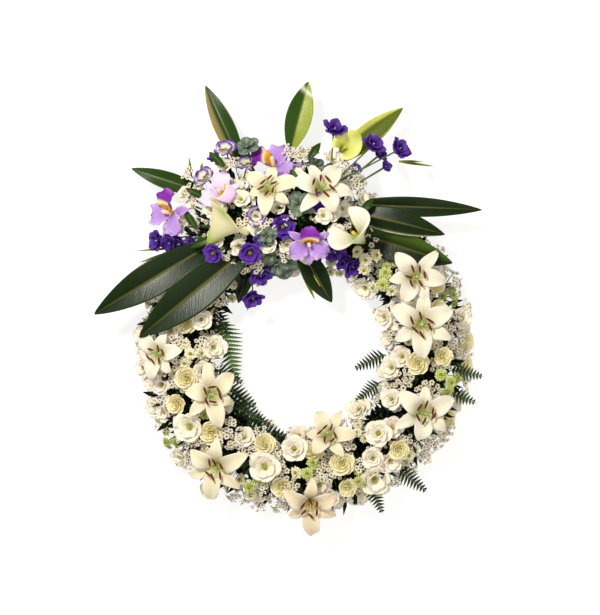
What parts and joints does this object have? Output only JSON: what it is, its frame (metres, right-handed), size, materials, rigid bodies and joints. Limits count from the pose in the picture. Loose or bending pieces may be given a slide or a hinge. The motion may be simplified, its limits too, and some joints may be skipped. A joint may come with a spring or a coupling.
{
  "type": "floral wreath",
  "caption": "Round memorial wreath of white flowers on a foam ring in a tray, with a crest of lilac orchids, violet blooms, callas and long strap leaves at its head.",
  "frame": {"origin": "under the middle of the whole outline, on the surface that the tray rests on", "axes": "+Z out of the wreath's face, as it lies on its back; +Y towards the head of the wreath, where the crest is; +X to the right of a viewer who faces it"},
  "size_m": [0.861, 0.9916, 0.2755],
  "materials": {
    "tray": "satin moulded plastic",
    "foam": "matt wet flower foam",
    "strap": "glossy dark green leaf with a paler midrib",
    "cattleya": "soft lilac petals with a magenta lip",
    "lily": "soft white petals with a green throat",
    "calla": "smooth cream spathe, lime at its foot",
    "violet": "deep violet petals",
    "rose": "soft cream petals",
    "lisianthus": "soft white petals",
    "filler": "small white petals",
    "eucalyptus": "waxy grey-green leaves",
    "santini": "matt lime-green buttons",
    "fern": "matt dark green leaflets"
  },
  "bodies": {
    "root": {"base_tray": "tray", "foam_ring": "foam", "crest_foam": "foam", "strap_leaves_left": "strap", "strap_leaves_top": "strap", "strap_leaves_right": "strap", "strap_leaves_low": "strap", "cattleya_1": "cattleya", "cattleya_2": "cattleya", "cattleya_3": "cattleya", "cattleya_4": "cattleya", "lily_crest_1": "lily", "lily_crest_2": "lily", "calla_1": "calla", "calla_2": "calla", "calla_3": "calla", "gladiolus_right": "violet", "lily_ring_1": "lily", "lily_ring_2": "lily", "lily_ring_3": "lily", "lily_ring_4": "lily", "lily_ring_5": "lily", "lily_ring_6": "lily", "lily_ring_7": "lily", "lily_ring_8": "lily", "rose_1": "rose", "rose_2": "rose", "rose_3": "rose", "rose_4": "rose", "rose_5": "rose", "rose_6": "rose", "lisianthus_white_1": "lisianthus", "lisianthus_white_2": "lisianthus", "lisianthus_white_3": "lisianthus", "lisianthus_white_4": "lisianthus", "lisianthus_white_5": "lisianthus", "lisianthus_white_6": "lisianthus", "lisianthus_white_7": "lisianthus", "lisianthus_violet_1": "violet", "lisianthus_violet_2": "violet", "lisianthus_violet_3": "violet", "gladiolus_left": "violet", "gladiolus_low_left": "violet", "gladiolus_low_right": "violet", "filler_crest": "filler", "eucalyptus_crest": "eucalyptus", "santini_1": "santini", "santini_2": "santini", "santini_3": "santini", "santini_4": "santini", "santini_5": "santini", "filler_1": "filler", "filler_2": "filler", "filler_3": "filler", "filler_4": "filler", "fern_1": "fern", "fern_2": "fern", "fern_3": "fern", "fern_4": "fern", "fern_5": "fern"}
  },
  "joints": []
}
